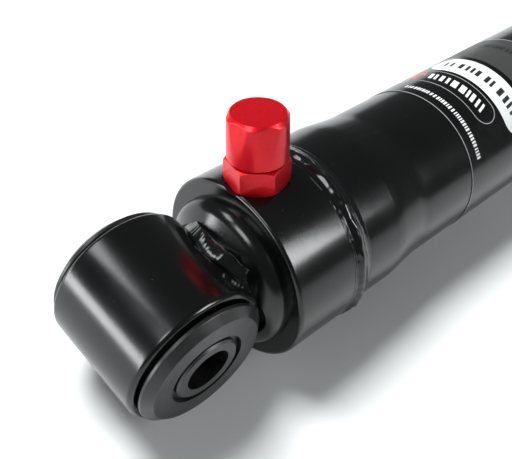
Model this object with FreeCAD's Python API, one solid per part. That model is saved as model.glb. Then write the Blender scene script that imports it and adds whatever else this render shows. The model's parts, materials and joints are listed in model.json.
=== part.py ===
import FreeCAD, Part
import math
import os

from FreeCAD import Vector

# Gas-charged monotube damper. Row frame, in millimetres: the origin is the centre of the
# lower eye's bore, +X runs along the damper towards the rod, +Y along both eye bores and
# +Z is up. The damper is stored fully extended, the way its gas charge holds it.

os.makedirs("parts", exist_ok=True)

RUNNING = 0.05

# Eyes: a steel barrel, a moulded rubber bush and a steel inner sleeve for an M14 bolt.
EYE_BARREL_R = 22.8
EYE_BARREL_HALF = 18.3
EYE_BARREL_ROUND = 1.5
BUSH_CORE_R = 18.5
BUSH_FLANGE_R = 20.9
BUSH_FLANGE_GAP = 1.0
BUSH_HALF = 22.7
BUSH_RIM = 1.2
BUSH_FACE_R = 18.2
BUSH_EDGE_ROUND = 0.4
BUSH_WELL_R = 12.1
BUSH_WELL_DEPTH = 1.6
SLEEVE_R = 10.5
SLEEVE_BORE_R = 7.1
SLEEVE_HALF = 23.0
SLEEVE_CHAMFER = 0.6
EYE_TO_EYE = 574.0

# Base: boss, collar and gas chamber behind the lower eye.
BOSS_NECK_R = 17.0
BOSS_NECK_X = 19.5
BOSS_NECK_ROUND = 3.5
BOSS_R = 24.4
BOSS_SHOULDER_X = 25.0
BOSS_SHOULDER_ROUND = 5.5
EYE_WELD_WIDTH = 2.4
EYE_WELD_HEIGHT = 2.8
COLLAR_X0 = 28.1
COLLAR_X1 = 50.8
COLLAR_R = 30.0
COLLAR_ROUND = 1.3
CHAMBER_X0 = 32.0
CHAMBER_R = 20.0
SPIGOT_LENGTH = 5.2
COLLAR_WELD_X1 = 59.6
COLLAR_WELD_R = 30.9

# Pressure tube: a thicker neck at the collar that tapers to the straight barrel.
TUBE_BORE_R = 25.0
TUBE_NECK_R = 28.85
TUBE_NECK_X = 75.0
TUBE_R = 27.2
TUBE_TAPER_X = 88.5
TUBE_BLEND = 25.0
TUBE_X1 = 332.0
LABEL_X0 = 114.2
LABEL_X1 = 214.0
LABEL_THICKNESS = 0.15

# Charging valve on the collar. Heights are measured from the damper axis along the valve.
VALVE_X = 38.3
VALVE_LEAN = 11.1
VALVE_SEAT = 28.7
VALVE_BASE_TOP = 36.8
VALVE_AF = 17.0
VALVE_BASE_CORNER = 197.0
VALVE_LOWER_R = 5.0
VALVE_LOWER_END = 20.6
VALVE_STEM_R = 5.5
VALVE_STEM_TOP = 46.2
VALVE_CORE_R = 2.6
VALVE_SEAL_R = 6.6
VALVE_SEAL_DEPTH = 1.3
CAP_R = 9.0
CAP_BOTTOM = 37.4
CAP_TOP = 51.6
CAP_CROWN = 0.9
CAP_FLAT_TOP = 8.3
CAP_FLAT_RUNOUT = 39.6
CAP_CORNER = 216.0
CAP_BORE_TOP = 47.5
CAP_RECESS_R = 7.6
CAP_RECESS_TOP = 39.0
CAP_ORING_CENTRE_R = 6.55
CAP_ORING_R = 0.7
CAP_ORING_HEIGHT = 37.95
CORE_BOTTOM = 34.0
CORE_TOP = 45.6
CORE_POCKET_BOTTOM = 35.2
CORE_POCKET_TOP = 42.5
CORE_POCKET_R = 1.75
CORE_PIN_R = 0.6
CORE_PIN_TOP = 46.0
CORE_PIN_HEAD_R = 1.4
CORE_PIN_HEAD_Z = 41.0
CORE_SEAL_R = 1.9
CORE_SEAL_TOP = 33.6
CORE_SEAL_BOTTOM = 32.3
CORE_SPRING_COILS = 6
CORE_SPRING_R = 1.2
CORE_SPRING_WIRE_R = 0.18

# Floating piston between the gas and the oil.
GAS_PISTON_X0 = 82.0
GAS_PISTON_LENGTH = 16.0
GAS_PISTON_R = 24.6
GAS_PISTON_CUP_R = 17.0
GAS_PISTON_CUP_DEPTH = 9.0
GAS_ORING_X = 88.0
GAS_BAND_X = 94.0
RING_GROOVE_R = 22.0

# Rod, piston and valve stack.
ROD_R = 9.0
SPIGOT_R = 6.0
SPIGOT_X0 = 246.0
ROD_SHOULDER_X = 288.0
NUT_X0 = 250.0
NUT_LENGTH = 9.0
NUT_AF = 19.0
BACKING_LENGTH = 2.5
BACKING_R = 10.0
SHIM_THICKNESS = 0.5
SHIM_RADII = (18.0, 15.0, 12.0)
PISTON_X0 = 263.0
PISTON_LENGTH = 20.0
PISTON_R = 24.6
PISTON_PORTS = 6
PISTON_PORT_R = 2.0
PISTON_PORT_PCD_R = 14.5
PISTON_BAND_LENGTH = 10.0
BAND_END_GAP = 0.3
STOP_RING_LENGTH = 8.0
STOP_RING_R = 16.0

# Rod guide and end of the tube.
GUIDE_X0 = 296.5
GUIDE_X1 = 320.0
GUIDE_BUSH_X0 = 298.0
GUIDE_BUSH_X1 = 312.0
GUIDE_BUSH_R = 10.5
GUIDE_RELIEF_R = 9.5
GUIDE_SEAL_X0 = 313.0
GUIDE_SEAL_R = 15.0
GUIDE_ORING_X = 305.0
GUIDE_ORING_CENTRE_R = 23.9
GUIDE_ORING_R = 1.05
GUIDE_ORING_GROOVE_R = 22.8
GUIDE_ORING_GROOVE_WIDTH = 2.8
RETAINER_X0 = 320.2
RETAINER_X1 = 322.2
RETAINER_OUTER_R = 26.0
RETAINER_INNER_R = 23.6
END_CAP_SPIGOT_X0 = 324.0
END_CAP_X1 = 337.0
END_CAP_R = 28.6
WIPER_X0 = 329.0
WIPER_X1 = 338.2
WIPER_R = 14.0

# Outside end of the rod.
BUMP_STOP_X0 = 506.0
BUMP_STOP_X1 = 541.0
BUMP_STOP_R = 22.0
BUMP_STOP_WAIST_R = 17.5
TOP_WASHER_X1 = 544.0
TOP_WASHER_R = 24.0
UPPER_WELD_R = 12.8
UPPER_WELD_X0 = 545.5


def unit(vector):
    return vector * (1.0 / vector.Length)


def rounded_wire(corners):
    """Closed wire through corners (Vector, radius), each rounded by a tangent arc."""
    spans = []
    for i, (corner, radius) in enumerate(corners):
        if radius == 0:
            spans.append((corner, None, corner))
            continue
        back = unit(corners[i - 1][0] - corner)
        ahead = unit(corners[(i + 1) % len(corners)][0] - corner)
        half = back.getAngle(ahead) / 2
        reach = radius / math.tan(half)
        inward = unit(back + ahead)
        middle = corner + inward * (radius / math.sin(half) - radius)
        spans.append((corner + back * reach, middle, corner + ahead * reach))
    edges = []
    for i, (start, middle, end) in enumerate(spans):
        if middle is not None:
            edges.append(Part.Arc(start, middle, end).toShape())
        following = spans[(i + 1) % len(spans)][0]
        if (following - end).Length > 1e-6:
            edges.append(Part.LineSegment(end, following).toShape())
    return Part.Wire(edges)


def lathe(axis, outline):
    """Solid of revolution about a row axis; outline is (along, radius[, rounding]) points."""
    place = {
        "X": lambda along, radius: Vector(along, 0, radius),
        "Y": lambda along, radius: Vector(radius, along, 0),
        "Z": lambda along, radius: Vector(radius, 0, along),
    }[axis]
    corners = []
    for point in outline:
        rounding = point[2] if len(point) == 3 else 0
        corners.append((place(point[0], point[1]), rounding))
    direction = place(1, 0)
    return Part.Face(rounded_wire(corners)).revolve(Vector(0, 0, 0), direction, 360)


def ring(axis, start, end, inner, outer, rounding=0):
    """Ring of rectangular section between two radii."""
    return lathe(axis, [(start, inner), (start, outer, rounding), (end, outer, rounding), (end, inner)])


def disc(axis, start, end, radius, rounding=0):
    return ring(axis, start, end, 0, radius, rounding)


def o_ring(axis, along, centre_r, section_r):
    direction = {"X": Vector(1, 0, 0), "Z": Vector(0, 0, 1)}[axis]
    return Part.makeTorus(centre_r, section_r, direction * along, direction)


def hexagon(across_flats, start, end, corner_angle):
    """Hexagonal prism along +Z with one corner at corner_angle."""
    corner_r = across_flats / math.sqrt(3)
    points = []
    for i in range(7):
        angle = math.radians(corner_angle + 60 * i)
        points.append(Vector(corner_r * math.cos(angle), corner_r * math.sin(angle), start))
    return Part.Face(Part.makePolygon(points)).extrude(Vector(0, 0, end - start))


def along_x(shape, x):
    """Turns a shape built along +Z so that it runs along +X, starting at x."""
    shape.rotate(Vector(0, 0, 0), Vector(0, 1, 0), 90)
    shape.translate(Vector(x, 0, 0))
    return shape


def at_valve(shape):
    """Carries a shape built along +Z onto the valve's leaning axis."""
    shape.rotate(Vector(0, 0, 0), Vector(1, 0, 0), -VALVE_LEAN)
    shape.translate(Vector(VALVE_X, 0, 0))
    return shape


def moved_x(shape, x):
    shape.translate(Vector(x, 0, 0))
    return shape


def save(name, shape):
    assert shape.isValid(), name
    shape.exportStep(os.path.join("parts", name + ".step"))


# ---- Eyes -----------------------------------------------------------------------------

def eye_barrel(x):
    half = EYE_BARREL_HALF
    return moved_x(ring("Y", -half, half, BUSH_CORE_R, EYE_BARREL_R, EYE_BARREL_ROUND), x)


def eye_bush(x):
    """Rubber bush: a flange stands off the barrel by a narrow groove and tapers to its face."""
    bore_r = SLEEVE_R + RUNNING
    flange_y = EYE_BARREL_HALF + BUSH_FLANGE_GAP
    well_y = BUSH_HALF - BUSH_WELL_DEPTH
    half_outline = [
        (flange_y, BUSH_CORE_R),
        (flange_y, BUSH_FLANGE_R, BUSH_EDGE_ROUND),
        (flange_y + BUSH_RIM, BUSH_FLANGE_R, BUSH_EDGE_ROUND),
        (BUSH_HALF, BUSH_FACE_R, BUSH_EDGE_ROUND),
        (BUSH_HALF, BUSH_WELL_R),
        (well_y, BUSH_WELL_R),
        (well_y, bore_r),
    ]
    mirrored = [(-point[0],) + point[1:] for point in reversed(half_outline)]
    return moved_x(lathe("Y", half_outline + mirrored), x)


def eye_sleeve(x):
    half = SLEEVE_HALF
    body = lathe("Y", [
        (-half, SLEEVE_BORE_R),
        (-half, SLEEVE_R - SLEEVE_CHAMFER),
        (-half + SLEEVE_CHAMFER, SLEEVE_R),
        (half - SLEEVE_CHAMFER, SLEEVE_R),
        (half, SLEEVE_R - SLEEVE_CHAMFER),
        (half, SLEEVE_BORE_R),
    ])
    return moved_x(body, x)


def barrel_envelope(x, growth=0.0):
    """Solid cylinder of an eye barrel, used to saddle what is welded to it."""
    half = 2 * EYE_BARREL_HALF
    return moved_x(disc("Y", -half, half, EYE_BARREL_R + growth), x)


for end, eye_x in (("lower", 0.0), ("upper", EYE_TO_EYE)):
    save(end + "_eye_barrel", eye_barrel(eye_x))
    save(end + "_eye_bush", eye_bush(eye_x))
    save(end + "_inner_sleeve", eye_sleeve(eye_x))


# ---- Base -----------------------------------------------------------------------------

def base_boss():
    body = lathe("X", [
        (BOSS_NECK_X - BOSS_NECK_R / 2, 0),
        (BOSS_NECK_X - BOSS_NECK_R / 2, BOSS_NECK_R),
        (BOSS_NECK_X, BOSS_NECK_R, BOSS_NECK_ROUND),
        (BOSS_SHOULDER_X, BOSS_R, BOSS_SHOULDER_ROUND),
        (COLLAR_X0, BOSS_R),
        (COLLAR_X0, 0),
    ])
    return body.cut(barrel_envelope(0))


def lower_eye_weld():
    """Bead that fills the corner between the boss's neck and the eye barrel."""
    collar = ring("X", BOSS_NECK_X - BOSS_NECK_R / 2, BOSS_NECK_X + EYE_WELD_HEIGHT,
                  BOSS_NECK_R, BOSS_NECK_R + EYE_WELD_WIDTH, EYE_WELD_WIDTH / 2)
    bead = collar.common(barrel_envelope(0, EYE_WELD_HEIGHT))
    return bead.cut(barrel_envelope(0)).cut(base_boss())


def base_collar():
    body = lathe("X", [
        (COLLAR_X0, 0),
        (COLLAR_X0, COLLAR_R, COLLAR_ROUND),
        (COLLAR_X1, COLLAR_R),
        (COLLAR_X1, TUBE_BORE_R),
        (COLLAR_X1 + SPIGOT_LENGTH, TUBE_BORE_R),
        (COLLAR_X1 + SPIGOT_LENGTH, CHAMBER_R),
        (CHAMBER_X0, CHAMBER_R),
        (CHAMBER_X0, 0),
    ])
    port = disc("Z", CHAMBER_R / 2, VALVE_SEAT, VALVE_LOWER_R)
    seal_seat = disc("Z", VALVE_SEAT - VALVE_SEAL_DEPTH, VALVE_SEAT, VALVE_SEAL_R)
    spot_face = disc("Z", VALVE_SEAT, VALVE_SEAT + 5, VALVE_AF / math.sqrt(3) + 0.5)
    return body.cut(at_valve(port.fuse(seal_seat).fuse(spot_face)))


def collar_weld():
    """Weld bead around the tube, with a narrow valley between it and the collar's edge."""
    return lathe("X", [
        (COLLAR_X1, TUBE_NECK_R),
        (COLLAR_X1, COLLAR_R, 0.3),
        (COLLAR_X1 + 1.4, COLLAR_R - 0.2, 0.5),
        (COLLAR_X1 + 2.8, COLLAR_WELD_R, 1.0),
        (COLLAR_X1 + 5.4, COLLAR_WELD_R - 0.3, 2.0),
        (COLLAR_WELD_X1, TUBE_NECK_R),
    ])


def body_tube():
    shell = lathe("X", [
        (COLLAR_X1, TUBE_BORE_R),
        (COLLAR_X1, TUBE_NECK_R),
        (TUBE_NECK_X, TUBE_NECK_R, TUBE_BLEND),
        (TUBE_TAPER_X, TUBE_R, TUBE_BLEND),
        (TUBE_X1, TUBE_R),
        (TUBE_X1, TUBE_BORE_R),
    ])
    return shell.cut(ring("X", RETAINER_X0, RETAINER_X1, TUBE_BORE_R - 1, RETAINER_OUTER_R))


save("base_boss", base_boss())
save("lower_eye_weld", lower_eye_weld())
save("base_collar", base_collar())
save("collar_weld", collar_weld())
save("body_tube", body_tube())
save("body_label", ring("X", LABEL_X0, LABEL_X1, TUBE_R, TUBE_R + LABEL_THICKNESS))


# ---- Charging valve -------------------------------------------------------------------

def valve_base():
    corner_r = VALVE_AF / math.sqrt(3)
    turned = lathe("Z", [
        (VALVE_SEAT, 0),
        (VALVE_SEAT, VALVE_AF / 2),
        (VALVE_SEAT + 1.1, corner_r),
        (VALVE_BASE_TOP - 0.8, corner_r),
        (VALVE_BASE_TOP, VALVE_AF / 2 + 0.1),
        (VALVE_BASE_TOP, 0),
    ])
    head = turned.common(hexagon(VALVE_AF, VALVE_SEAT, VALVE_BASE_TOP, VALVE_BASE_CORNER))
    lower = disc("Z", VALVE_LOWER_END, VALVE_SEAT, VALVE_LOWER_R)
    stem = lathe("Z", [
        (VALVE_BASE_TOP, 0),
        (VALVE_BASE_TOP, VALVE_STEM_R),
        (VALVE_STEM_TOP - 0.8, VALVE_STEM_R),
        (VALVE_STEM_TOP, VALVE_STEM_R - 0.8),
        (VALVE_STEM_TOP, 0),
    ])
    bore = disc("Z", VALVE_LOWER_END - 1, VALVE_STEM_TOP + 1, VALVE_CORE_R)
    return at_valve(head.fuse(lower).fuse(stem).cut(bore).removeSplitter())


def valve_cap():
    """Round cap with six milled flats that lean in towards the top and run out below."""
    body = lathe("Z", [
        (CAP_BOTTOM, CAP_RECESS_R),
        (CAP_BOTTOM, CAP_R - 0.3),
        (CAP_BOTTOM + 0.3, CAP_R),
        (CAP_TOP - CAP_CROWN, CAP_R),
        (CAP_TOP, CAP_R - CAP_CROWN, 0.4),
        (CAP_TOP, 0),
        (CAP_BORE_TOP, 0),
        (CAP_BORE_TOP, VALVE_STEM_R + RUNNING),
        (CAP_RECESS_TOP, VALVE_STEM_R + RUNNING),
        (CAP_RECESS_TOP, CAP_RECESS_R),
    ])
    lean = math.degrees(math.atan((CAP_R - CAP_FLAT_TOP) / (CAP_TOP - CAP_FLAT_RUNOUT)))
    for i in range(6):
        cutter = Part.makeBox(10, 30, 30, Vector(0, -15, 0))
        cutter.rotate(Vector(0, 0, 0), Vector(0, 1, 0), -lean)
        cutter.translate(Vector(CAP_R, 0, CAP_FLAT_RUNOUT))
        cutter.rotate(Vector(0, 0, 0), Vector(0, 0, 1), CAP_CORNER + 30 + 60 * i)
        body = body.cut(cutter)
    return at_valve(body)


def core_housing():
    """Threaded valve core body with a spring pocket and a hole for the pin at each end."""
    pin_hole = CORE_PIN_R + RUNNING
    return at_valve(lathe("Z", [
        (CORE_BOTTOM, pin_hole),
        (CORE_BOTTOM, VALVE_CORE_R),
        (CORE_TOP, VALVE_CORE_R),
        (CORE_TOP, pin_hole),
        (CORE_POCKET_TOP, pin_hole),
        (CORE_POCKET_TOP, CORE_POCKET_R),
        (CORE_POCKET_BOTTOM, CORE_POCKET_R),
        (CORE_POCKET_BOTTOM, pin_hole),
    ]))


def core_pin():
    shaft = disc("Z", CORE_SEAL_BOTTOM, CORE_PIN_TOP, CORE_PIN_R)
    head = disc("Z", CORE_PIN_HEAD_Z, CORE_PIN_HEAD_Z + 0.6, CORE_PIN_HEAD_R)
    return at_valve(shaft.fuse(head).removeSplitter())


def core_spring():
    """Coil spring between the pocket floor and the pin's head."""
    clear = CORE_SPRING_WIRE_R + 0.05
    bottom = CORE_POCKET_BOTTOM + clear
    height = CORE_PIN_HEAD_Z - clear - bottom
    helix = Part.makeHelix(height / CORE_SPRING_COILS, height, CORE_SPRING_R)
    section = Part.Wire(Part.makeCircle(CORE_SPRING_WIRE_R, Vector(CORE_SPRING_R, 0, 0), Vector(0, 1, 0)))
    spring = Part.Wire(helix.Edges).makePipeShell([section], True, True)
    spring.translate(Vector(0, 0, bottom))
    return at_valve(spring)


save("valve_base", valve_base())
save("valve_base_seal", at_valve(ring("Z", VALVE_SEAT - VALVE_SEAL_DEPTH, VALVE_SEAT,
                                      VALVE_LOWER_R, VALVE_SEAL_R)))
save("valve_cap", valve_cap())
save("valve_cap_oring", at_valve(o_ring("Z", CAP_ORING_HEIGHT, CAP_ORING_CENTRE_R, CAP_ORING_R)))
save("valve_core_housing", core_housing())
save("valve_core_pin", core_pin())
save("valve_core_seal", at_valve(ring("Z", CORE_SEAL_BOTTOM, CORE_SEAL_TOP, CORE_PIN_R, CORE_SEAL_R, 0.3)))
save("valve_core_spring", core_spring())


# ---- Floating piston ------------------------------------------------------------------

def floating_piston():
    x0 = GAS_PISTON_X0
    x1 = x0 + GAS_PISTON_LENGTH
    body = lathe("X", [
        (x0, GAS_PISTON_CUP_R),
        (x0, GAS_PISTON_R, 0.5),
        (x1, GAS_PISTON_R, 0.5),
        (x1, 0),
        (x0 + GAS_PISTON_CUP_DEPTH, 0),
        (x0 + GAS_PISTON_CUP_DEPTH, GAS_PISTON_CUP_R, 2),
    ])
    for centre, width in ((GAS_ORING_X, 3.0), (GAS_BAND_X, 4.0)):
        body = body.cut(ring("X", centre - width / 2, centre + width / 2, RING_GROOVE_R, GAS_PISTON_R + 1))
    return body


save("floating_piston", floating_piston())
save("floating_piston_oring", o_ring("X", GAS_ORING_X, 23.5, 1.45))
save("floating_piston_band", ring("X", GAS_BAND_X - 2, GAS_BAND_X + 2, RING_GROOVE_R, TUBE_BORE_R - RUNNING))


# ---- Rod, piston and valve stack ------------------------------------------------------

def piston():
    x1 = PISTON_X0 + PISTON_LENGTH
    middle = PISTON_X0 + PISTON_LENGTH / 2
    body = ring("X", PISTON_X0, x1, SPIGOT_R, PISTON_R, 0.6)
    half_groove = PISTON_BAND_LENGTH / 2 + BAND_END_GAP
    body = body.cut(ring("X", middle - half_groove, middle + half_groove, RING_GROOVE_R, PISTON_R + 1))
    for i in range(PISTON_PORTS):
        angle = math.radians(360 / PISTON_PORTS * i)
        place = Vector(PISTON_X0 - 1, PISTON_PORT_PCD_R * math.cos(angle), PISTON_PORT_PCD_R * math.sin(angle))
        body = body.cut(Part.makeCylinder(PISTON_PORT_R, PISTON_LENGTH + 2, place, Vector(1, 0, 0)))
    return body


def piston_band():
    middle = PISTON_X0 + PISTON_LENGTH / 2
    half = PISTON_BAND_LENGTH / 2
    return ring("X", middle - half, middle + half, RING_GROOVE_R + RUNNING, TUBE_BORE_R - RUNNING, 0.3)


def shim_stack(face_x, direction):
    """Shims against a piston face, widest first, with the stack growing along direction."""
    shims = []
    for i, radius in enumerate(SHIM_RADII):
        near = face_x + direction * SHIM_THICKNESS * i
        far = near + direction * SHIM_THICKNESS
        shims.append(ring("X", min(near, far), max(near, far), SPIGOT_R, radius))
    return shims[0].fuse(shims[1:])


def piston_nut():
    prism = hexagon(NUT_AF, 0, NUT_LENGTH, 0)
    corner_r = NUT_AF / math.sqrt(3)
    turned = lathe("Z", [
        (0, SPIGOT_R),
        (0, NUT_AF / 2),
        (0.9, corner_r),
        (NUT_LENGTH - 0.9, corner_r),
        (NUT_LENGTH, NUT_AF / 2),
        (NUT_LENGTH, SPIGOT_R),
    ])
    return along_x(prism.common(turned), NUT_X0)


def piston_rod():
    body = lathe("X", [
        (SPIGOT_X0, 0),
        (SPIGOT_X0, SPIGOT_R - 1),
        (SPIGOT_X0 + 1, SPIGOT_R),
        (ROD_SHOULDER_X, SPIGOT_R),
        (ROD_SHOULDER_X, ROD_R),
        (EYE_TO_EYE - EYE_BARREL_R + ROD_R, ROD_R),
        (EYE_TO_EYE - EYE_BARREL_R + ROD_R, 0),
    ])
    return body.cut(barrel_envelope(EYE_TO_EYE))


def bump_stop():
    """Foam bump stop with two waists, tapering to its free end."""
    length = BUMP_STOP_X1 - BUMP_STOP_X0
    outline = [(BUMP_STOP_X0, ROD_R + 0.5), (BUMP_STOP_X0, BUMP_STOP_WAIST_R - 1.5, 2)]
    for i in range(3):
        crest = BUMP_STOP_X0 + length * (i + 0.5) / 3
        outline.append((crest, BUMP_STOP_R - (2 - i) * 1.2, 4))
        if i < 2:
            outline.append((crest + length / 6, BUMP_STOP_WAIST_R, 1.5))
    outline += [(BUMP_STOP_X1, BUMP_STOP_R - 2, 1), (BUMP_STOP_X1, ROD_R + 0.5)]
    return lathe("X", outline)


def upper_eye_weld():
    bead = lathe("X", [
        (UPPER_WELD_X0, ROD_R),
        (EYE_TO_EYE - EYE_BARREL_R, UPPER_WELD_R, 1.5),
        (EYE_TO_EYE - EYE_BARREL_R / 2, UPPER_WELD_R),
        (EYE_TO_EYE - EYE_BARREL_R / 2, ROD_R),
    ])
    return bead.cut(barrel_envelope(EYE_TO_EYE))


PISTON_X1 = PISTON_X0 + PISTON_LENGTH
save("piston_nut", piston_nut())
save("backing_washer", ring("X", NUT_X0 + NUT_LENGTH, NUT_X0 + NUT_LENGTH + BACKING_LENGTH, SPIGOT_R, BACKING_R))
save("rebound_shims", shim_stack(PISTON_X0, -1))
save("piston", piston())
save("piston_band", piston_band())
save("compression_shims", shim_stack(PISTON_X1, 1))
save("shoulder_washer", ring("X", PISTON_X1 + 3 * SHIM_THICKNESS, ROD_SHOULDER_X, SPIGOT_R, BACKING_R + 0.5))
save("piston_rod", piston_rod())
save("rebound_stop", ring("X", ROD_SHOULDER_X, ROD_SHOULDER_X + STOP_RING_LENGTH, ROD_R, STOP_RING_R, 1.5))
save("bump_stop", bump_stop())
save("top_washer", ring("X", BUMP_STOP_X1, TOP_WASHER_X1, ROD_R, TOP_WASHER_R, 1.0))
save("upper_eye_weld", upper_eye_weld())


# ---- Rod guide and end of the tube ----------------------------------------------------

def rod_guide():
    body = lathe("X", [
        (GUIDE_X0, GUIDE_RELIEF_R),
        (GUIDE_X0, TUBE_BORE_R),
        (GUIDE_X1, TUBE_BORE_R),
        (GUIDE_X1, GUIDE_SEAL_R),
        (GUIDE_SEAL_X0, GUIDE_SEAL_R),
        (GUIDE_SEAL_X0, GUIDE_RELIEF_R),
        (GUIDE_BUSH_X1, GUIDE_RELIEF_R),
        (GUIDE_BUSH_X1, GUIDE_BUSH_R),
        (GUIDE_BUSH_X0, GUIDE_BUSH_R),
        (GUIDE_BUSH_X0, GUIDE_RELIEF_R),
    ])
    half_groove = GUIDE_ORING_GROOVE_WIDTH / 2
    groove = ring("X", GUIDE_ORING_X - half_groove, GUIDE_ORING_X + half_groove,
                  GUIDE_ORING_GROOVE_R, TUBE_BORE_R + 1)
    return body.cut(groove)


def end_cap():
    bore_r = ROD_R + 0.5
    return lathe("X", [
        (END_CAP_SPIGOT_X0, bore_r),
        (END_CAP_SPIGOT_X0, TUBE_BORE_R),
        (TUBE_X1, TUBE_BORE_R),
        (TUBE_X1, END_CAP_R),
        (END_CAP_X1, END_CAP_R, 1.5),
        (END_CAP_X1, WIPER_R),
        (WIPER_X0, WIPER_R),
        (WIPER_X0, bore_r),
    ])


def wiper_seal():
    """Wiper whose lip rises out of the end cap around the rod."""
    lip_r = ROD_R + RUNNING
    return lathe("X", [
        (WIPER_X0, lip_r),
        (WIPER_X0, WIPER_R),
        (END_CAP_X1 - 0.6, WIPER_R),
        (END_CAP_X1 - 0.6, ROD_R + 2.6),
        (WIPER_X1, ROD_R + 1.0),
        (WIPER_X1, lip_r),
    ])


save("rod_guide", rod_guide())
save("guide_bush", ring("X", GUIDE_BUSH_X0, GUIDE_BUSH_X1, ROD_R + RUNNING, GUIDE_BUSH_R))
save("guide_oring", o_ring("X", GUIDE_ORING_X, GUIDE_ORING_CENTRE_R, GUIDE_ORING_R))
save("rod_seal", ring("X", GUIDE_SEAL_X0, GUIDE_X1 - 0.5, ROD_R + RUNNING, GUIDE_SEAL_R))
save("retaining_ring", ring("X", RETAINER_X0, RETAINER_X1, RETAINER_INNER_R, RETAINER_OUTER_R))
save("end_cap", end_cap())
save("wiper_seal", wiper_seal())
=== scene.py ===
import json
import math
import random

import bmesh
import bpy
from mathutils import Matrix, Vector, noise


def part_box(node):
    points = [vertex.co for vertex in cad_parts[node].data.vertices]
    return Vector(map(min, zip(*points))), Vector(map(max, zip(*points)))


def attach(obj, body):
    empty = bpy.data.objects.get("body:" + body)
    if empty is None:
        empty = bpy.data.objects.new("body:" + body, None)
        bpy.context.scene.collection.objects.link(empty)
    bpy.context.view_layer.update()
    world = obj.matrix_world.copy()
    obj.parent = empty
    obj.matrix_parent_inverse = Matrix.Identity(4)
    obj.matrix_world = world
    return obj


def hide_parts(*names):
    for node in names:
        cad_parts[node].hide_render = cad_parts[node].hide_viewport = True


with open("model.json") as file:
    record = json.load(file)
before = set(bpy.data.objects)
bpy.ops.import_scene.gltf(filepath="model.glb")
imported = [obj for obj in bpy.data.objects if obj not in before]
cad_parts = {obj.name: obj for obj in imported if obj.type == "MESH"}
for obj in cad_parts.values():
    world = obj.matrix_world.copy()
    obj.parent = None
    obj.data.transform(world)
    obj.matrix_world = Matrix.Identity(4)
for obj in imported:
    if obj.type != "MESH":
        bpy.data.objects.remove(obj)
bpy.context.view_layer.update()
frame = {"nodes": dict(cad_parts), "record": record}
nodes = frame["nodes"]

MM = 0.001

# ---- Sizes read from the frame, in metres ---------------------------------------------


def node_radius(name):
    """Outer radius of a node turned about the damper's axis."""
    low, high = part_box(name)
    return (high.z - low.z) / 2


def node_span(name):
    """Where a node starts and ends along the damper."""
    low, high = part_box(name)
    return low.x, high.x


COLLAR_R = node_radius("base_collar")
WELD_X0, WELD_X1 = node_span("collar_weld")
LABEL_X0 = node_span("body_label")[0]
LABEL_R = node_radius("body_label")
EYE_R = (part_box("lower_eye_barrel")[1].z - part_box("lower_eye_barrel")[0].z) / 2
EYE_TO_EYE = (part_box("upper_eye_barrel")[0].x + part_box("upper_eye_barrel")[1].x) / 2

# The same driving dimensions as the CAD model's, where a node's box doesn't give them.
NECK_R = 17.0 * MM
ROD_R = 9.0 * MM
TUBE_NECK_R = 28.85 * MM
VALVE_LEAN = math.radians(11.1)
VALVE_X = 38.3 * MM
VALVE_SEAT = 28.7 * MM
VALVE_BASE_TOP = 36.8 * MM
VALVE_STEM_R = 5.5 * MM
VALVE_STEM_TOP = 46.2 * MM
VALVE_CORE_R = 2.6 * MM
VALVE_BASE_CORNER = math.radians(197)
CAP_R = 9.0 * MM
CAP_BOTTOM = 37.4 * MM
CAP_TOP = 51.6 * MM
CAP_FLAT_TOP = 8.3 * MM
CAP_FLAT_RUNOUT = 39.6 * MM
CAP_CORNER = math.radians(216)
CAP_RECESS_R = 7.6 * MM
CAP_RECESS_TOP = 39.0 * MM
CAP_BORE_TOP = 47.5 * MM

# The drawn threads are finer than the cap's rise in one turn.
THREAD_PITCH = 1.0 * MM


# ---- Materials ------------------------------------------------------------------------

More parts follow.
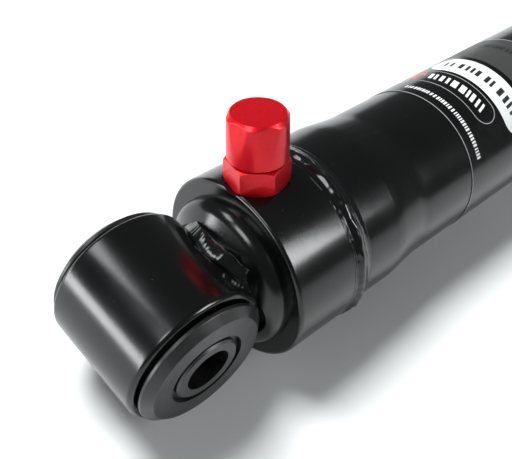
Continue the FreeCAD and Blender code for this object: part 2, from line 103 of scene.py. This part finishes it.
class Shader:
    """A material under construction: a Principled shader plus a few node helpers."""

    def __init__(self, name):
        self.material = bpy.data.materials.new(name)
        self.material.use_nodes = True
        self.tree = self.material.node_tree
        self.tree.nodes.clear()
        self.output = self.add("ShaderNodeOutputMaterial")
        self.surface = self.add("ShaderNodeBsdfPrincipled")
        self.link(self.surface.outputs[0], self.output.inputs[0])
        self.place = self.add("ShaderNodeTexCoord").outputs["Object"]

    def add(self, kind, **settings):
        node = self.tree.nodes.new(kind)
        for key, value in settings.items():
            setattr(node, key, value)
        return node

    def link(self, source, target):
        self.tree.links.new(source, target)

    def set(self, **values):
        for key, value in values.items():
            self.surface.inputs[key.replace("_", " ")].default_value = value

    def stretched(self, scale):
        """Object coordinates scaled by a vector, for grain that runs one way."""
        mapping = self.add("ShaderNodeMapping")
        mapping.inputs["Scale"].default_value = scale
        self.link(self.place, mapping.inputs["Vector"])
        return mapping.outputs[0]

    def noise(self, scale, detail=3.0, rough=0.5, place=None):
        node = self.add("ShaderNodeTexNoise")
        node.inputs["Scale"].default_value = scale
        node.inputs["Detail"].default_value = detail
        node.inputs["Roughness"].default_value = rough
        self.link(place or self.place, node.inputs["Vector"])
        return node.outputs["Fac"]

    def specks(self, scale, size):
        """1 inside small scattered dots, 0 elsewhere."""
        node = self.add("ShaderNodeTexVoronoi", feature="F1")
        node.inputs["Scale"].default_value = scale
        self.link(self.place, node.inputs["Vector"])
        near = self.ramp(node.outputs["Distance"], size, size * 0.4, 0.0, 1.0)
        sparse = self.ramp(self.channel(node.outputs["Color"]), 0.72, 0.78, 0.0, 1.0)
        return self.math("MULTIPLY", near, sparse)

    def channel(self, colour):
        node = self.add("ShaderNodeSeparateColor")
        self.link(colour, node.inputs[0])
        return node.outputs[0]

    def math(self, operation, a, b):
        node = self.add("ShaderNodeMath", operation=operation)
        for socket, value in zip(node.inputs, (a, b)):
            if isinstance(value, (int, float)):
                socket.default_value = value
            else:
                self.link(value, socket)
        return node.outputs[0]

    def ramp(self, value, low, high, out_low, out_high):
        node = self.add("ShaderNodeMapRange")
        self.link(value, node.inputs["Value"])
        limits = {"From Min": low, "From Max": high, "To Min": out_low, "To Max": out_high}
        for name, number in limits.items():
            node.inputs[name].default_value = number
        return node.outputs[0]

    def mix(self, factor, a, b):
        """Blend of two colours; either may be a socket or an RGB tuple."""
        node = self.add("ShaderNodeMix", data_type="RGBA")
        self.link(factor, node.inputs["Factor"])
        for socket, value in ((node.inputs[6], a), (node.inputs[7], b)):
            if isinstance(value, tuple):
                socket.default_value = (*value, 1.0)
            else:
                self.link(value, socket)
        return node.outputs[2]

    def colour(self, socket):
        self.link(socket, self.surface.inputs["Base Color"])

    def roughness(self, socket):
        self.link(socket, self.surface.inputs["Roughness"])

    def bump(self, *layers):
        """Stacks (height socket, depth in metres) layers into one normal."""
        normal = None
        for height, depth in layers:
            node = self.add("ShaderNodeBump")
            node.inputs["Distance"].default_value = depth
            node.inputs["Strength"].default_value = 1.0
            self.link(height, node.inputs["Height"])
            if normal is not None:
                self.link(normal, node.inputs["Normal"])
            normal = node.outputs[0]
        self.link(normal, self.surface.inputs["Normal"])


def black_paint(name, rough=(0.15, 0.23), peel=6e-6, marks=0.0):
    """Satin black powder coat: orange peel, faint mottling, dust and optional lathe marks below."""
    s = Shader(name)
    mottle = s.noise(55, 4, 0.6)
    dust = s.specks(420, 0.12)
    base = s.mix(mottle, (0.0013, 0.0014, 0.0015), (0.0032, 0.0033, 0.0035))
    s.colour(s.mix(s.math("MULTIPLY", dust, 0.12), base, (0.16, 0.16, 0.15)))
    fine = s.noise(2600, 2, 0.5)
    spread = s.math("ADD", s.math("MULTIPLY", mottle, 0.6), s.math("MULTIPLY", fine, 0.4))
    s.roughness(s.ramp(spread, 0.3, 0.7, *rough))
    layers = [(s.noise(650, 2, 0.5), peel), (s.noise(2600, 2, 0.5), peel * 0.35)]
    if marks:
        turning = s.noise(1.0, 4, 0.6, s.stretched((3200, 140, 140)))
        layers.append((turning, marks))
    s.bump(*layers)
    s.set(Specular_IOR_Level=0.5)
    return s.material


def weld_paint(name):
    """Glossier black where the coat pools over a weld, with fine spatter."""
    s = Shader(name)
    s.colour(s.mix(s.noise(300, 4, 0.6), (0.002, 0.002, 0.0022), (0.006, 0.006, 0.0065)))
    s.roughness(s.ramp(s.noise(500, 3, 0.6), 0.3, 0.7, 0.08, 0.2))
    s.bump((s.noise(900, 3, 0.6), 1.5e-5), (s.noise(2400, 2, 0.5), 4e-6))
    return s.material


def rubber(name, base=(0.006, 0.006, 0.0063), rough=(0.26, 0.42), grain=1.2e-5):
    """Moulded rubber with a fine grain, pale bloom in places and a little dust."""
    s = Shader(name)
    bloom = s.ramp(s.noise(90, 5, 0.65), 0.45, 0.75, 0.0, 1.0)
    pale = tuple(c * 2.4 + 0.004 for c in base)
    dust = s.specks(500, 0.12)
    s.colour(s.mix(s.math("MULTIPLY", dust, 0.12), s.mix(bloom, base, pale), (0.2, 0.2, 0.19)))
    s.roughness(s.ramp(s.noise(180, 4, 0.6), 0.3, 0.7, *rough))
    s.bump((s.noise(1500, 3, 0.6), grain), (s.noise(220, 3, 0.5), grain * 2))
    return s.material


def red_anodised(name):
    """Blasted and anodised aluminium: saturated red with fine pink specks painted in as a sparkle highlight,
    under a satin sheen.
    """
    s = Shader(name)
    grain = s.noise(5200, 2, 0.6)
    cloud = s.noise(260, 3, 0.5)
    deep = s.mix(cloud, (0.60, 0.0015, 0.005), (0.74, 0.0025, 0.009))
    # Pink specks mixed into the base colour: a painted highlight that stands in for the pink sparkle of the
    # finish.
    s.colour(s.mix(s.ramp(grain, 0.55, 0.75, 0.0, 0.5), deep, (0.98, 0.05, 0.15)))
    s.roughness(s.ramp(grain, 0.3, 0.7, 0.26, 0.4))
    s.bump((grain, 1.6e-5), (s.noise(1500, 2, 0.5), 1e-5))
    s.set(Metallic=0.5, Specular_IOR_Level=0.3, Coat_Weight=0.2, Coat_Roughness=0.07)
    return s.material


def metal(name, light, dark, rough, stretch=None, scratch=4e-6, metallic=1.0):
    """Bare or plated metal; stretch gives the scratches a direction."""
    s = Shader(name)
    place = s.stretched(stretch) if stretch else None
    scratches = s.noise(1.0 if stretch else 1200, 4, 0.6, place)
    stain = s.noise(70, 4, 0.6)
    s.colour(s.mix(s.math("MULTIPLY", s.math("ADD", scratches, stain), 0.5), dark, light))
    worn = s.math("ADD", s.math("MULTIPLY", scratches, 0.5), s.math("MULTIPLY", stain, 0.5))
    s.roughness(s.ramp(worn, 0.3, 0.7, *rough))
    s.bump((scratches, scratch))
    s.set(Metallic=metallic)
    return s.material


def polymer(name, base, rough=(0.4, 0.6)):
    s = Shader(name)
    cloud = s.noise(400, 4, 0.6)
    s.colour(s.mix(cloud, tuple(c * 0.75 for c in base), tuple(c * 1.25 for c in base)))
    s.roughness(s.ramp(cloud, 0.3, 0.7, *rough))
    s.bump((s.noise(1800, 3, 0.6), 1e-5))
    return s.material


def foam(name):
    """Microcellular foam: fine open pores in an amber-brown skin, the pores painted dark as shade in their
    hollows.
    """
    s = Shader(name)
    cells = s.add("ShaderNodeTexVoronoi", feature="DISTANCE_TO_EDGE")
    cells.inputs["Scale"].default_value = 1600
    s.link(s.place, cells.inputs["Vector"])
    pores = s.ramp(cells.outputs["Distance"], 0.0, 0.25, 0.0, 1.0)
    cloud = s.noise(120, 4, 0.6)
    skin = s.mix(cloud, (0.16, 0.105, 0.045), (0.27, 0.185, 0.085))
    # Pores get a dark colour: painted shade inside the pore hollows.
    s.colour(s.mix(pores, (0.06, 0.04, 0.02), skin))
    s.roughness(s.ramp(cloud, 0.3, 0.7, 0.6, 0.8))
    s.bump((pores, 4e-5), (s.noise(900, 3, 0.6), 3e-5))
    return s.material


def film(name, base, rough=(0.22, 0.34), grain=3e-6):
    """Printed film: an even colour with faint ink mottling."""
    s = Shader(name)
    ink = s.noise(900, 3, 0.6)
    s.colour(s.mix(ink, tuple(c * 0.88 for c in base), tuple(min(1.0, c * 1.1) for c in base)))
    s.roughness(s.ramp(s.noise(160, 3, 0.5), 0.3, 0.7, *rough))
    s.bump((ink, grain))
    return s.material


def studio_paper(name):
    s = Shader(name)
    s.colour(s.mix(s.noise(40, 3, 0.5), (0.83, 0.835, 0.835), (0.86, 0.865, 0.865)))
    s.roughness(s.ramp(s.noise(900, 2, 0.5), 0.3, 0.7, 0.8, 0.95))
    s.set(Specular_IOR_Level=0.1)
    return s.material


MATERIALS = {
    "black_paint": black_paint("satin_black_paint"),
    "painted_weld": weld_paint("painted_weld"),
    "bush_rubber": rubber("bush_rubber"),
    "phosphated_steel": metal("phosphated_steel", (0.12, 0.12, 0.122), (0.035, 0.035, 0.036),
                              (0.3, 0.5)),
    "printed_label": film("label_film", (0.0024, 0.0025, 0.0027), (0.15, 0.23)),
    "red_anodised": red_anodised("red_anodised"),
    "seal_rubber": rubber("seal_rubber", (0.016, 0.016, 0.016), (0.45, 0.6), 8e-6),
    "wiper_rubber": rubber("wiper_rubber", (0.022, 0.022, 0.024), (0.4, 0.55), 1e-5),
    "brass": metal("brass", (0.80, 0.60, 0.27), (0.62, 0.43, 0.18), (0.2, 0.34)),
    "spring_steel": metal("spring_steel", (0.45, 0.45, 0.46), (0.3, 0.3, 0.32), (0.22, 0.36)),
    "guide_aluminium": metal("turned_aluminium", (0.78, 0.79, 0.8), (0.62, 0.63, 0.64),
                             (0.22, 0.34), (4000, 60, 60)),
    "bearing_bronze": metal("bearing_bronze", (0.55, 0.40, 0.24), (0.4, 0.28, 0.15), (0.34, 0.5)),
    "bearing_polymer": polymer("bearing_polymer", (0.05, 0.045, 0.04)),
    "chrome_rod": metal("chrome_rod", (0.86, 0.87, 0.88), (0.78, 0.79, 0.8),
                        (0.05, 0.1), (300, 5200, 5200), 4e-7),
    "sintered_iron": metal("sintered_iron", (0.3, 0.3, 0.3), (0.16, 0.16, 0.16), (0.4, 0.6)),
    "zinc_steel": metal("zinc_steel", (0.72, 0.72, 0.7), (0.5, 0.5, 0.48), (0.25, 0.4)),
    "foam_rubber": foam("bump_stop_foam"),
}
COLLAR_PAINT = black_paint("turned_black_paint", (0.16, 0.24), 6e-6, 6e-6)

for entry in frame["record"]["subparts"]:
    mesh = nodes[entry["node"]].data
    mesh.materials.clear()
    mesh.materials.append(MATERIALS[entry["material_slot"]])
for name in ("base_collar", "base_boss", "lower_eye_barrel"):
    nodes[name].data.materials[0] = COLLAR_PAINT


# ---- Mesh helpers ---------------------------------------------------------------------

def new_piece(name, mesh_data, material, body, replaces=()):
    """Puts a finished mesh in the scene as a piece of the object."""
    piece = bpy.data.objects.new(name, mesh_data)
    bpy.context.scene.collection.objects.link(piece)
    mesh_data.materials.append(material)
    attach(piece, body)
    if replaces:
        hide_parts(*replaces)
    return piece


def grid_mesh(name, rows, columns, point, closed_rows=True, closed_columns=True, sharp=None):
    """Mesh of point(i, j) for i in rows and j in columns, joined round where closed."""
    mesh_data = bpy.data.meshes.new(name)
    vertices = [point(i, j) for i in range(rows) for j in range(columns)]
    faces = []
    for i in range(rows if closed_rows else rows - 1):
        for j in range(columns if closed_columns else columns - 1):
            a = i * columns + j
            b = i * columns + (j + 1) % columns
            c = (i + 1) % rows * columns + (j + 1) % columns
            d = (i + 1) % rows * columns + j
            faces.append((a, b, c, d))
    mesh_data.from_pydata(vertices, [], faces)
    for polygon in mesh_data.polygons:
        polygon.use_smooth = True
    bm = bmesh.new()
    bm.from_mesh(mesh_data)
    bmesh.ops.remove_doubles(bm, verts=bm.verts, dist=1e-7)
    bmesh.ops.recalc_face_normals(bm, faces=bm.faces)
    if sharp is not None:
        for edge in bm.edges:
            if len(edge.link_faces) == 2 and edge.calc_face_angle(0) > sharp:
                edge.smooth = False
    bm.to_mesh(mesh_data)
    bm.free()
    return mesh_data


def valve_frame():
    return Matrix.Translation((VALVE_X, 0, 0)) @ Matrix.Rotation(-VALVE_LEAN, 4, "X")


# ---- Valve cap and base ---------------------------------------------------------------

def turned(name, profile, columns, to_row, corner):
    """Closed turned mesh about Z, placed by to_row and turned by corner.

    profile holds (height, radius) pairs. A radius may be a function of the angle.
    """

    def point(i, j):
        height, radius = profile[i]
        angle = 2 * math.pi * j / columns
        if callable(radius):
            radius = radius(angle)
        angle += corner
        return to_row @ Vector((radius * math.cos(angle), radius * math.sin(angle), height))

    return grid_mesh(name, len(profile), columns, point, True, True, math.radians(50))


def flat_radius(distance, angle):
    """Radius of a hexagon's nearest flat; a corner lies at angle 0."""
    sixth = math.pi / 3
    return distance / math.cos(angle % sixth - sixth / 2)


def smooth_least(values, softness):
    """Smallest of the values, with the corner between close ones rounded off."""
    least = min(values)
    total = sum(math.exp(-(v - least) / softness) for v in values)
    return least - softness * math.log(total)


def spaced(start, end, count):
    """Evenly spaced values with both ends included."""
    return [start + (end - start) * i / (count - 1) for i in range(count)]


def thread(height, radius, depth, pitch):
    """Radius of a screw thread at a height, as a function of the angle."""
    def at(angle):
        phase = (height / pitch - angle / (2 * math.pi)) % 1
        return radius - depth * abs(2 * phase - 1)
    return at


def valve_base():
    """Chamfered hexagon with a threaded stem above it, bored through for the valve core."""
    half_flats = 8.5 * MM
    thread_depth = 0.35 * MM
    softness = 0.06 * MM

    def outside(height):
        def at(angle):
            top_cone = half_flats + 0.15 * MM + (VALVE_BASE_TOP - height) * 1.45
            low_cone = half_flats + 0.25 * MM + (height - VALVE_SEAT) * 1.1
            top_edge = half_flats - 0.1 * MM + (VALVE_BASE_TOP - height) * 5
            flat = flat_radius(half_flats, angle)
            return smooth_least([flat, top_cone, low_cone, top_edge], softness)
        return at

    heights = spaced(VALVE_SEAT, VALVE_SEAT + 1.5 * MM, 12)
    heights += spaced(VALVE_SEAT + 1.8 * MM, VALVE_BASE_TOP - 1.5 * MM, 8)
    heights += spaced(VALVE_BASE_TOP - 1.3 * MM, VALVE_BASE_TOP, 16)
    profile = [(VALVE_SEAT, VALVE_CORE_R)]
    profile += [(height, outside(height)) for height in heights]
    for height in spaced(VALVE_BASE_TOP, VALVE_STEM_TOP - 0.7 * MM, 90):
        profile.append((height, thread(height, VALVE_STEM_R, thread_depth, THREAD_PITCH)))
    profile += [(VALVE_STEM_TOP, VALVE_STEM_R - 0.9 * MM), (VALVE_STEM_TOP, VALVE_CORE_R)]
    mesh_data = turned("valve_hexagon", profile, 288, valve_frame(), VALVE_BASE_CORNER)
    new_piece("valve_hexagon", mesh_data, MATERIALS["red_anodised"], "damper_body",
              ("valve_base",))


def valve_cap():
    """Round cap with six milled flats that lean in towards the top and run out near its foot."""
    lean = (CAP_R - CAP_FLAT_TOP) / (CAP_TOP - CAP_FLAT_RUNOUT)
    crown_r = CAP_R - 1.1 * MM
    crown_slope = 0.85
    crown_rise = 0.06 * MM
    thread_r = 5.9 * MM
    thread_depth = 0.3 * MM
    softness = 0.05 * MM

    def outside(height):
        def at(angle):
            flat = flat_radius(CAP_R - (height - CAP_FLAT_RUNOUT) * lean, angle)
            crown = crown_r + (CAP_TOP - height) * crown_slope
            foot = CAP_R - 0.35 * MM + (height - CAP_BOTTOM) * 2
            return smooth_least([flat, CAP_R, crown, foot], softness)
        return at

    heights = spaced(CAP_BOTTOM, CAP_BOTTOM + 0.5 * MM, 8)
    heights += spaced(CAP_BOTTOM + 0.7 * MM, CAP_TOP - 1.5 * MM, 60)
    heights += spaced(CAP_TOP - 1.4 * MM, CAP_TOP, 30)
    profile = [(CAP_BOTTOM, CAP_RECESS_R)]
    profile += [(height, outside(height)) for height in heights]
    for share in (0.985, 0.96, 0.9, 0.7, 0.4, 0.0):
        profile.append((CAP_TOP + crown_rise * (1 - share ** 8), crown_r * share))
    profile.append((CAP_BORE_TOP, 0.0))
    for height in spaced(CAP_BORE_TOP, CAP_RECESS_TOP, 86):
        profile.append((height, thread(height, thread_r, thread_depth, THREAD_PITCH)))
    profile.append((CAP_RECESS_TOP, CAP_RECESS_R))
    mesh_data = turned("valve_cap_milled", profile, 360, valve_frame(), CAP_CORNER)
    new_piece("valve_cap_milled", mesh_data, MATERIALS["red_anodised"], "cap",
              ("valve_cap",))


valve_base()
valve_cap()


# ---- Welds ----------------------------------------------------------------------------

def lump(place, scale, seed):
    """Smooth noise from about -1 to 1; seed picks another part of it."""
    return noise.noise(place * scale + Vector((seed, seed * 0.7, -seed)))


def collar_weld():
    """Bead around the tube: two ridges, fine ripples and a swollen overlap where it was closed."""
    columns = 900
    rows = 34
    seat_r = TUBE_NECK_R - 0.2 * MM
    inner_r = seat_r - 0.3 * MM
    width = WELD_X1 - WELD_X0
    crest = COLLAR_R + 0.7 * MM - TUBE_NECK_R
    ripple_length = 0.42 * MM
    ripple_height = 0.025 * MM
    lump_height = 0.32 * MM
    swell_height = 0.55 * MM
    wander_length = 0.45 * MM
    overlap = math.radians(-97)

    def point(i, j):
        across = i / (rows - 1)
        angle = 2 * math.pi * j / columns
        off = math.atan2(math.sin(angle - overlap), math.cos(angle - overlap))
        swell = math.exp(-(off / 0.16) ** 2)
        first = 0.62 * math.exp(-((across - 0.04) / 0.13) ** 2)
        second = math.exp(-((across - 0.42) / (0.2 if across < 0.42 else 0.3)) ** 2)
        rise = crest * (first + second) * (1 - across ** 6)
        ripple = math.sin(angle * COLLAR_R / ripple_length + 5 * (across - 0.4) ** 2)
        place = Vector((across * 4, math.cos(angle) * 12, math.sin(angle) * 12))
        rise += (ripple_height * ripple + lump_height * lump(place, 1.0, 3)) * (first + second)
        rise += swell_height * swell * second
        edge = Vector((0, math.cos(angle) * 5, math.sin(angle) * 5))
        wander = wander_length * lump(edge, 1.0, 9)
        x = WELD_X0 + across * width + wander * math.sin(math.pi * across)
        radius = seat_r + max(0.0, rise + 0.2 * MM)
        return Vector((x, radius * math.sin(angle), radius * math.cos(angle)))

    def closed(i, j):
        if i < rows:
            return point(i, j)
        angle = 2 * math.pi * j / columns
        x = WELD_X1 if i == rows else WELD_X0
        return Vector((x, inner_r * math.sin(angle), inner_r * math.cos(angle)))

    mesh_data = grid_mesh("tube_weld_bead", rows + 2, columns, closed)
    new_piece("tube_weld_bead", mesh_data, MATERIALS["painted_weld"], "damper_body",
              ("collar_weld",))


def rounded_path(points):
    """Cuts the corners of an open path three times over; the two ends stay put."""
    for _ in range(3):
        cut = [points[0]]
        for a, b in zip(points, points[1:]):
            cut += [a * 0.75 + b * 0.25, a * 0.25 + b * 0.75]
        points = cut + [points[-1]]
    return points


def saddle_weld(name, centre_x, neck_r, sign, body, replaced, flank, crest, reach):
    """Bead in the corner between an eye barrel and the round neck or rod that meets it.

    sign is 1 if the neck leaves the barrel towards +X. flank is how far the bead stands off the
    barrel, crest how far off the neck, and reach how far it runs along the neck.
    """
    columns = 720
    lumps_per_metre = 260
    ripple_length = 0.21 * MM
    unevenness = 0.7 * MM

    def section(j):
        turn = 2 * math.pi * j / columns
        out = Vector((0, math.sin(turn), math.cos(turn)))
        z = neck_r * out.z
        root = Vector((sign * math.sqrt(EYE_R ** 2 - z ** 2), neck_r * out.y, z))
        normal = Vector((root.x, 0, root.z)).normalized()
        along = (out - normal * out.dot(normal)).normalized()
        up = Vector((sign, 0, 0))
        place = root * lumps_per_metre
        size = 1 + 0.3 * lump(place, 0.5, 5)
        corners = [
            root - normal * 0.6 * MM - along * 0.8 * MM,
            root - normal * 0.3 * MM + along * 1.5 * MM,
            root + (along * 0.6 * MM + normal * flank) * size,
            root + up * reach * 0.6 + out * crest * size,
            root + up * reach - out * 0.3 * MM,
            root + up * reach * 0.6 - out * 0.9 * MM,
        ]
        path = rounded_path(corners)
        ripple = math.sin(turn * neck_r / ripple_length)
        result = []
        for i, here in enumerate(path):
            share = i / (len(path) - 1)
            push = math.sin(math.pi * share)
            rough = 0.45 * lump(place, 1.1, 11) + 0.16 * lump(here * lumps_per_metre, 1.6, 23)
            shift = (out + normal * 0.6) * push * (0.03 * ripple + rough) * unevenness
            result.append(Vector((centre_x, 0, 0)) + here + shift)
        return result

    sections = [section(j) for j in range(columns)]
    mesh_data = grid_mesh(name, len(sections[0]), columns, lambda i, j: sections[j][i])
    new_piece(name, mesh_data, MATERIALS["painted_weld"], body, (replaced,))


collar_weld()
saddle_weld("eye_weld_bead", 0.0, NECK_R, 1, "damper_body", "lower_eye_weld",
            3.4 * MM, 3.0 * MM, 5.6 * MM)
saddle_weld("rod_weld_bead", EYE_TO_EYE, ROD_R, -1, "rod", "upper_eye_weld",
            2.6 * MM, 2.6 * MM, 4.6 * MM)


# ---- Label print ----------------------------------------------------------------------

INK_LIFT = 0.03 * MM
ANGLE_STEP = math.radians(1.5)


def on_label(x, angle, lift):
    """Point just off the label at a distance along the tube; angles run from the top to the -Y side."""
    radius = LABEL_R + lift
    return Vector((x, -radius * math.sin(angle), radius * math.cos(angle)))


class Print:
    """Flat ink areas laid on the label, gathered into one mesh."""

    def __init__(self, lift=INK_LIFT):
        self.lift = lift
        self.vertices = []
        self.faces = []

    def quad(self, corners):
        """Area between four (x, angle) corners."""
        start = len(self.vertices)
        self.vertices += [on_label(x, angle, self.lift) for x, angle in corners]
        self.faces.append(tuple(range(start, start + 4)))

    def band(self, angle_start, angle_end, low, high):
        """Area between two edges, each a function of the angle."""
        count = max(1, math.ceil((angle_end - angle_start) / ANGLE_STEP))
        angles = spaced(angle_start, angle_end, count + 1)
        for a, b in zip(angles, angles[1:]):
            self.quad([(low(a), a), (low(b), b), (high(b), b), (high(a), a)])

    def ribbon(self, path, width):
        """Open line of constant width through (x, angle) points."""
        flat = [Vector((x, angle * LABEL_R)) for x, angle in path]
        sides = []
        for i, here in enumerate(flat):
            before = flat[i - 1] if i else here
            after = flat[i + 1] if i + 1 < len(flat) else here
            ahead = (after - before).normalized()
            across = Vector((-ahead.y, ahead.x)) * width / 2
            sides.append((here - across, here + across))
        for (a, b), (c, d) in zip(sides, sides[1:]):
            self.quad([(p.x, p.y / LABEL_R) for p in (a, c, d, b)])

    def strokes(self, dice, span, limits, widths, gaps, slant=0.0):
        """Row of plain strokes between two x values; limits, widths, gaps and slant are in degrees."""
        low, high = span
        angle, end = limits
        while angle < end:
            wide = dice.choice(widths)
            corners = [(low, angle), (low, angle + wide), (high, angle + wide - slant), (high, angle - slant)]
            self.quad([(x, math.radians(a)) for x, a in corners])
            angle += wide + dice.choice(gaps)

    def finish(self, name, material):
        """Makes the mesh, facing outwards, and puts it in the scene."""
        mesh_data = bpy.data.meshes.new(name)
        mesh_data.from_pydata(self.vertices, [], self.faces)
        bm = bmesh.new()
        bm.from_mesh(mesh_data)
        bmesh.ops.remove_doubles(bm, verts=bm.verts, dist=1e-7)
        for face in bm.faces:
            face.smooth = True
            face.normal_update()
            middle = face.calc_center_median()
            if face.normal.dot(Vector((0, middle.y, middle.z))) < 0:
                face.normal_flip()
        bm.to_mesh(mesh_data)
        bm.free()
        new_piece(name, mesh_data, material, "damper_body")


def rounded_end(centre_x, half_width, end_angle):
    """How far an area with a half-round end reaches either side of its centre line, by angle."""
    def half(angle):
        left = abs(end_angle - angle) * LABEL_R
        if left >= half_width:
            return half_width
        return math.sqrt(max(0.0, half_width ** 2 - (half_width - left) ** 2))
    return half


def label_print():
    """A ring line, a white bar and an outlined capsule with plain strokes, ticks and a grey panel."""
    dice = random.Random(4)
    rad = math.radians
    all_round = (rad(-180), rad(180))
    white, grey, red, panel = Print(), Print(), Print(), Print()
    dark = Print(2 * INK_LIFT)

    line_x, line_half = LABEL_X0 + 0.25 * MM, 0.18 * MM
    grey.band(*all_round, lambda a: line_x - line_half, lambda a: line_x + line_half)

    bar_x, bar_half = 144.5 * MM, 6.4 * MM
    bar_start, bar_end = -44, 54
    left = rounded_end(bar_x, bar_half, rad(bar_start))
    right = rounded_end(bar_x, bar_half, rad(bar_end))

    def bar(angle):
        return min(left(angle), right(angle))

    white.band(rad(bar_start), rad(bar_end), lambda a: bar_x - bar(a), lambda a: bar_x + bar(a))
    dark.strokes(dice, (bar_x - 2.1 * MM, bar_x + 2.1 * MM), (bar_start + 11, bar_end - 12),
                 (2.4, 3.4, 4.4), (2.2, 3.0, 5.2), 1.4)

    frame_x, frame_half = 131.1 * MM, 5.1 * MM
    frame_start, frame_end = rad(-70), rad(24)
    outline = [(frame_x - frame_half, a) for a in spaced(frame_start, frame_end, 60)]
    for turn in spaced(rad(-90), rad(90), 25):
        reach = frame_half * math.cos(turn) / LABEL_R
        outline.append((frame_x + frame_half * math.sin(turn), frame_end + reach))
    outline += [(frame_x + frame_half, a) for a in spaced(frame_end, frame_start, 60)]
    grey.ribbon(outline, 0.32 * MM)
    white.strokes(dice, (frame_x - 2.0 * MM, frame_x + 2.3 * MM), (-27, 25), (2.2, 3.2, 5.0), (1.8, 2.6), 2.5)

    mark_slant = 3
    for low, high, start, wide in ((127.6, 131.2, -43, 7), (131.2, 135.0, -41, 8)):
        red.quad([(low * MM, rad(start)), (low * MM, rad(start + wide)),
                  (high * MM, rad(start + wide - mark_slant)), (high * MM, rad(start - mark_slant))])

    ticks = (118.2 * MM, 120.1 * MM)
    white.strokes(dice, ticks, (-31, 53), (1.0, 1.6), (0.8, 1.0, 1.5))

    panel_start, panel_end = 153.6 * MM, 176.0 * MM
    panel.band(*all_round, lambda a: panel_start, lambda a: panel_end)
    panel_marks = (166.6 * MM, 169.6 * MM)
    dark.strokes(dice, panel_marks, (-32, 40), (1.2, 2.4, 3.4), (1.4, 2.2))
    edge_start, edge_end = 176.4 * MM, 176.9 * MM
    grey.band(*all_round, lambda a: edge_start, lambda a: edge_end)

    dull = (0.3, 0.42)
    white.finish("label_print_white", film("white_ink", (0.86, 0.87, 0.86), dull))
    grey.finish("label_print_grey", film("grey_ink", (0.36, 0.37, 0.37), dull))
    red.finish("label_print_red", film("red_ink", (0.72, 0.035, 0.02), dull))
    panel.finish("label_print_panel", film("panel_ink", (0.05, 0.052, 0.05), (0.34, 0.46)))
    dark.finish("label_print_dark", film("dark_ink", (0.02, 0.02, 0.021), dull))


label_print()


# ---- Floor, light and camera ----------------------------------------------------------

FLOOR_Z = -31.3 * MM
FLOOR_SIZE = 6.0
FLOOR_CELLS = 8
DAYLIGHT = (0.96, 0.99, 1.0)


def studio_floor():
    def point(i, j):
        x = FLOOR_SIZE * (i / FLOOR_CELLS - 0.5)
        y = FLOOR_SIZE * (j / FLOOR_CELLS - 0.5)
        return Vector((x, y, FLOOR_Z))

    corners = FLOOR_CELLS + 1
    mesh_data = grid_mesh("floor", corners, corners, point, False, False)
    floor = bpy.data.objects.new("floor", mesh_data)
    bpy.context.scene.collection.objects.link(floor)
    mesh_data.materials.append(studio_paper("studio_paper"))


def direction(azimuth, elevation):
    a, e = math.radians(azimuth), math.radians(elevation)
    return Vector((math.cos(a) * math.cos(e), math.sin(a) * math.cos(e), math.sin(e)))


def softbox(name, aim, azimuth, elevation, distance, width, height, radiance,
            glossy=True, diffuse=True):
    """Rectangular light seen from aim in a direction; radiance is how bright its face looks."""
    light = bpy.data.lights.new(name, "AREA")
    light.shape = "RECTANGLE"
    light.size = width
    light.size_y = height
    light.energy = radiance * math.pi * width * height
    light.color = DAYLIGHT
    lamp = bpy.data.objects.new(name, light)
    bpy.context.scene.collection.objects.link(lamp)
    lamp.location = Vector(aim) + direction(azimuth, elevation) * distance
    lamp.rotation_euler = (Vector(aim) - lamp.location).to_track_quat("-Z", "Y").to_euler()
    lamp.visible_glossy = glossy
    lamp.visible_diffuse = diffuse


def studio():
    world = bpy.data.worlds.new("studio")
    bpy.context.scene.world = world
    world.use_nodes = True
    background = world.node_tree.nodes["Background"]
    background.inputs["Color"].default_value = (*DAYLIGHT, 1)
    background.inputs["Strength"].default_value = 0.13
    eye = (0, 0, 0)
    collar = (30 * MM, 0, 0)
    middle = (50 * MM, 0, 0)
    softbox("side_window", eye, 153, 1, 1.2, 1.1, 0.40, 14)
    softbox("right_box", collar, -58, 35, 0.9, 0.30, 0.36, 16, diffuse=False)
    softbox("back_box", eye, 119, 47, 0.9, 0.30, 0.20, 8, diffuse=False)
    softbox("left_box", eye, 168, 52, 0.9, 0.40, 0.26, 9, diffuse=False)
    softbox("overhead_key", middle, 108, 66, 1.6, 0.58, 0.58, 35, glossy=False)
    softbox("low_fill", (100 * MM, 0, 0), -50, 40, 1.4, 0.5, 0.5, 5.0, glossy=False)


def photo_camera():
    """Camera at the viewpoint that was fitted to the object's outlines."""
    focal_share = 1.50145
    place = Vector((-85.273, -97.852, 181.84)) * MM
    yaw, pitch, roll = (math.radians(a) for a in (50.73, 45.192, 11.928))
    level = math.cos(pitch)
    ahead = Vector((math.sin(yaw) * level, math.cos(yaw) * level, -math.sin(pitch)))
    right = ahead.cross(Vector((0, 0, 1))).normalized()
    up = right.cross(ahead)
    turned_right = right * math.cos(roll) + up * math.sin(roll)
    turned_up = up * math.cos(roll) - right * math.sin(roll)
    camera_data = bpy.data.cameras.new("camera")
    camera = bpy.data.objects.new("camera", camera_data)
    bpy.context.scene.collection.objects.link(camera)
    rotation = Matrix((turned_right, turned_up, -ahead)).transposed().to_4x4()
    camera.matrix_world = Matrix.Translation(place) @ rotation
    camera_data.sensor_width = 36
    camera_data.lens = camera_data.sensor_width * focal_share
    camera_data.shift_x = -0.0058
    camera_data.shift_y = -0.0548
    camera_data.clip_start = 0.01
    bpy.context.scene.camera = camera


studio_floor()
studio()
photo_camera()
bpy.context.scene.view_settings.view_transform = "Standard"
